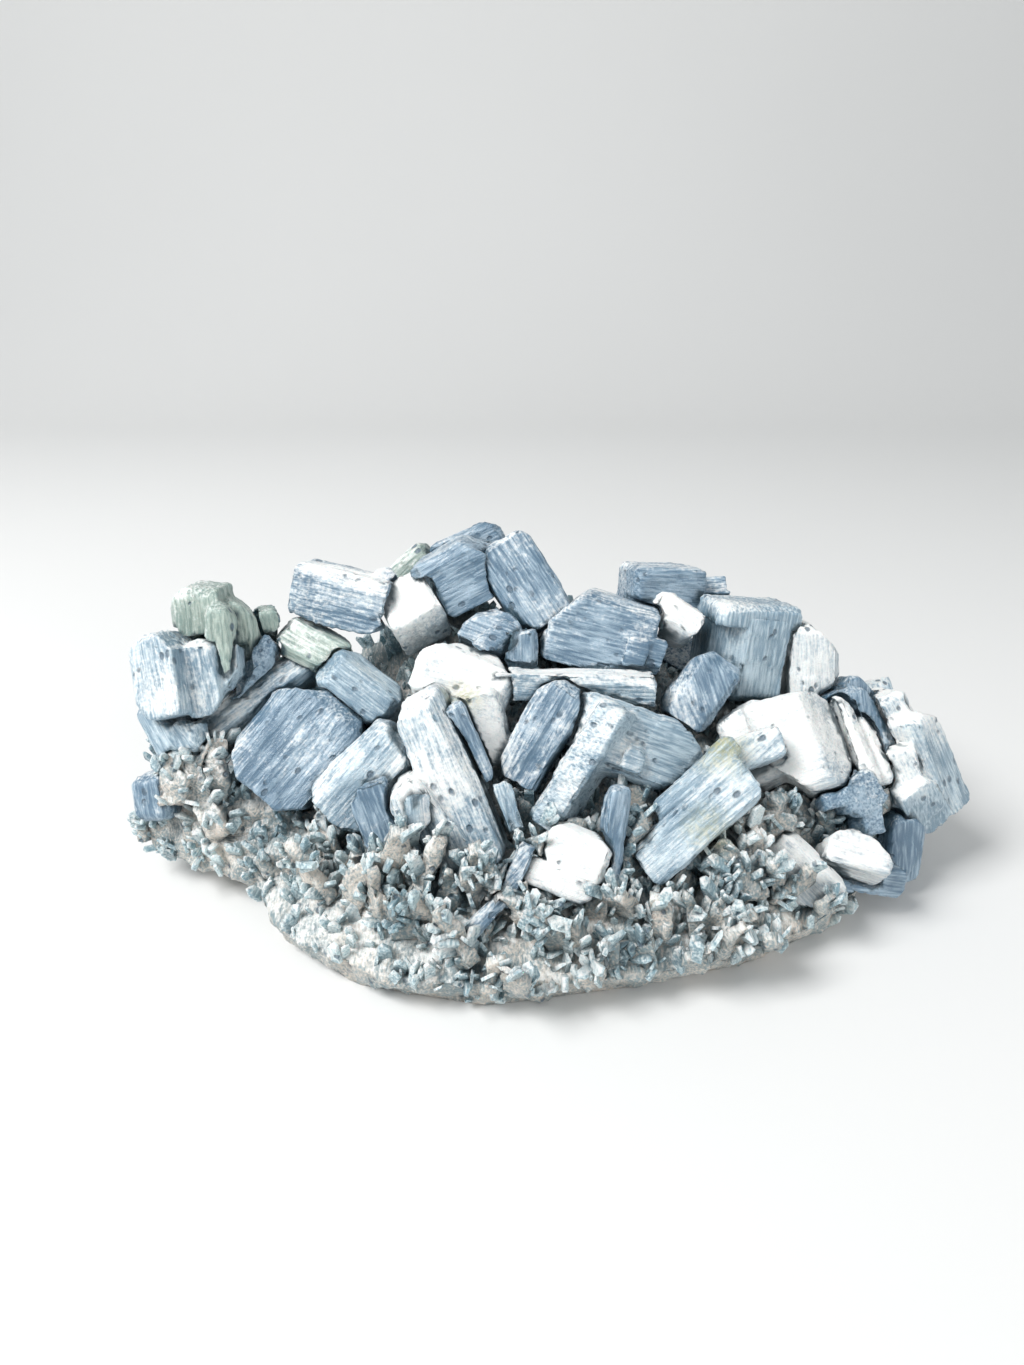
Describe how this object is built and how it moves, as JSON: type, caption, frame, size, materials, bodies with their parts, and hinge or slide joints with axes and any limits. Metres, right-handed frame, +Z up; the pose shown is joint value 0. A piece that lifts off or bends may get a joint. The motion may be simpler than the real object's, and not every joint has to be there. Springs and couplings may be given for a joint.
{
  "type": "blue barite specimen",
  "caption": "Cluster of thick flat-faced blue and white barite crystals on a low crusted mound of pale matrix.",
  "frame": {"origin": "centre of the bounding box's bottom face, on the flat spot that the specimen rests on", "axes": "+Z up, -Y towards the display side, +X to the right seen from the display side"},
  "size_m": [0.1538, 0.1002, 0.0604],
  "materials": {
    "steel_blue_barite": "milky translucent steel blue, vitreous with a satin bloom",
    "pale_blue_barite": "milky translucent pale blue, satin",
    "white_barite": "opaque porcelain white over grey blue, satin, finely pitted",
    "green_grey_barite": "translucent greenish grey, vitreous",
    "crust_and_matrix": "icy white druse over pale peach matrix, sugary"
  },
  "bodies": {
    "root": {"back_block": "green_grey_barite", "back_crystal_01": "steel_blue_barite", "back_crystal_02": "steel_blue_barite", "back_crystal_03": "steel_blue_barite", "back_crystal_04": "steel_blue_barite", "back_crystal_05": "steel_blue_barite", "back_crystal_06": "steel_blue_barite", "back_crystal_07": "steel_blue_barite", "back_crystal_08": "steel_blue_barite", "back_crystal_09": "steel_blue_barite", "back_crystal_10": "steel_blue_barite", "back_crystal_11": "steel_blue_barite", "back_crystal_12": "steel_blue_barite", "back_crystal_13": "steel_blue_barite", "back_log": "white_barite", "big_rhomb": "pale_blue_barite", "blue_wedge": "steel_blue_barite", "brown_back": "steel_blue_barite", "centre_plate": "pale_blue_barite", "column_slab": "white_barite", "dark_wedge": "steel_blue_barite", "domed_rhomb": "steel_blue_barite", "fan_blade": "steel_blue_barite", "fan_plates": "steel_blue_barite", "far_right_blades": "pale_blue_barite", "fibrous_rhomb": "steel_blue_barite", "glassy_prism": "green_grey_barite", "green_back": "green_grey_barite", "green_round": "green_grey_barite", "grey_block": "green_grey_barite", "horizontal_bar": "white_barite", "layered_stack": "steel_blue_barite", "leaning_blade": "pale_blue_barite", "left_cap": "pale_blue_barite", "left_foot": "white_barite", "left_knobs": "pale_blue_barite", "left_peak": "steel_blue_barite", "left_plates": "pale_blue_barite", "left_tower": "green_grey_barite", "matrix": "crust_and_matrix", "pale_block": "white_barite", "pitted_block": "white_barite", "pitted_prism": "steel_blue_barite", "right_peak": "steel_blue_barite", "right_plate": "pale_blue_barite", "right_prism": "steel_blue_barite", "right_wall": "steel_blue_barite", "right_wedge": "white_barite", "slanting_bar": "pale_blue_barite", "sloping_block": "steel_blue_barite", "stepped_bar": "pale_blue_barite", "stepped_foot": "steel_blue_barite", "striated_arch": "steel_blue_barite", "tall_column": "white_barite", "upright_blade": "pale_blue_barite", "white_block": "white_barite", "white_cube": "white_barite", "white_knob": "white_barite", "white_lobe": "white_barite", "white_pyramid": "white_barite"}
  },
  "joints": []
}
